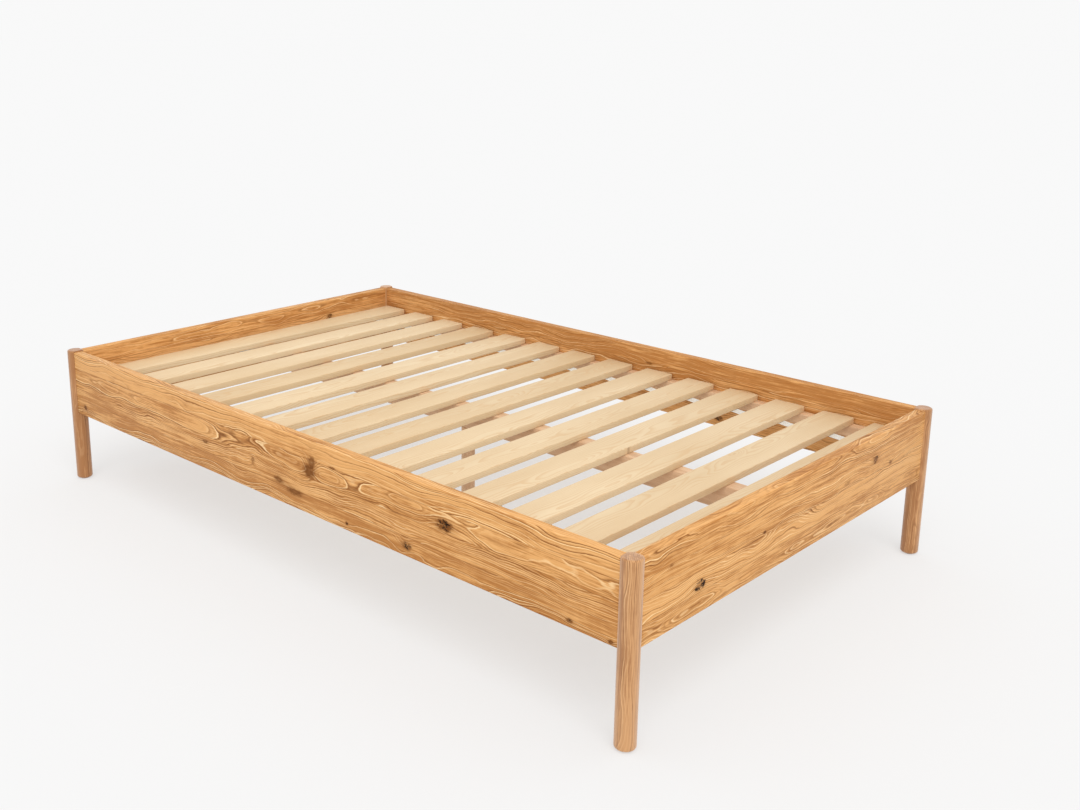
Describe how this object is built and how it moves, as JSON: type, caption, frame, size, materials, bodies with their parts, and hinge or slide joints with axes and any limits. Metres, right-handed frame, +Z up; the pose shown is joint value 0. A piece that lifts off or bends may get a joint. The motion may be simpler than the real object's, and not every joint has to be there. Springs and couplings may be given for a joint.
{
  "type": "wooden bed frame",
  "caption": "Low solid oak bed frame: round corner legs, flat plank rails bolted to them, and a lift-out base of pine slats on ledgers and a middle beam.",
  "frame": {"origin": "on the floor, under the middle of the frame", "axes": "+X across the bed's width, +Y from the foot end to the head end, +Z up; left and right as seen from the foot end"},
  "size_m": [1.282, 2.082, 0.4],
  "materials": {
    "rail_oak": "oiled knotty oak, edge-glued boards, satin",
    "leg_oak": "oiled oak, turned, satin",
    "pine": "planed, untreated pine with small knots",
    "beech": "planed, lightly oiled beech",
    "zinc_steel": "zinc-plated steel",
    "webbing": "woven polyester tape, natural white",
    "felt": "pressed brown felt"
  },
  "bodies": {
    "frame": {"leg_foot_left": "leg_oak", "leg_head_left": "leg_oak", "leg_foot_right": "leg_oak", "leg_head_right": "leg_oak", "felt_pad_foot_left": "felt", "felt_pad_head_left": "felt", "felt_pad_foot_right": "felt", "felt_pad_head_right": "felt", "side_rail_left": "rail_oak", "side_rail_right": "rail_oak", "foot_rail": "rail_oak", "head_rail": "rail_oak", "rail_bolt_foot_left_side": "zinc_steel", "rail_bolt_foot_left_end": "zinc_steel", "rail_bolt_head_left_side": "zinc_steel", "rail_bolt_head_left_end": "zinc_steel", "rail_bolt_foot_right_side": "zinc_steel", "rail_bolt_foot_right_end": "zinc_steel", "rail_bolt_head_right_side": "zinc_steel", "rail_bolt_head_right_end": "zinc_steel", "half_moon_washer_foot_left_side": "zinc_steel", "half_moon_washer_foot_left_end": "zinc_steel", "half_moon_washer_head_left_side": "zinc_steel", "half_moon_washer_head_left_end": "zinc_steel", "half_moon_washer_foot_right_side": "zinc_steel", "half_moon_washer_foot_right_end": "zinc_steel", "half_moon_washer_head_right_side": "zinc_steel", "half_moon_washer_head_right_end": "zinc_steel", "rail_nut_foot_left_side": "zinc_steel", "rail_nut_foot_left_end": "zinc_steel", "rail_nut_head_left_side": "zinc_steel", "rail_nut_head_left_end": "zinc_steel", "rail_nut_foot_right_side": "zinc_steel", "rail_nut_foot_right_end": "zinc_steel", "rail_nut_head_right_side": "zinc_steel", "rail_nut_head_right_end": "zinc_steel", "slat_ledger_left": "beech", "slat_ledger_right": "beech", "middle_beam": "beech", "beam_shoe_foot": "zinc_steel", "beam_shoe_head": "zinc_steel", "support_leg": "beech", "support_leg_bolt": "zinc_steel"},
    "slatted_base": {"slat_01": "pine", "slat_02": "pine", "slat_03": "pine", "slat_04": "pine", "slat_05": "pine", "slat_06": "pine", "slat_07": "pine", "slat_08": "pine", "slat_09": "pine", "slat_10": "pine", "slat_11": "pine", "slat_12": "pine", "slat_13": "pine", "slat_14": "pine", "slat_tape_left": "webbing", "slat_tape_right": "webbing"},
    "levelling_foot": {"levelling_foot": "zinc_steel"}
  },
  "joints": [
    {"name": "slatted_base_lift", "type": "slide", "parent": "frame", "child": "slatted_base", "axis": [0, 0, 1], "range_m": [0, 0.2]},
    {"name": "levelling_screw", "type": "slide", "parent": "frame", "child": "levelling_foot", "axis": [0, 0, 1], "range_m": [0, 0.015]}
  ]
}
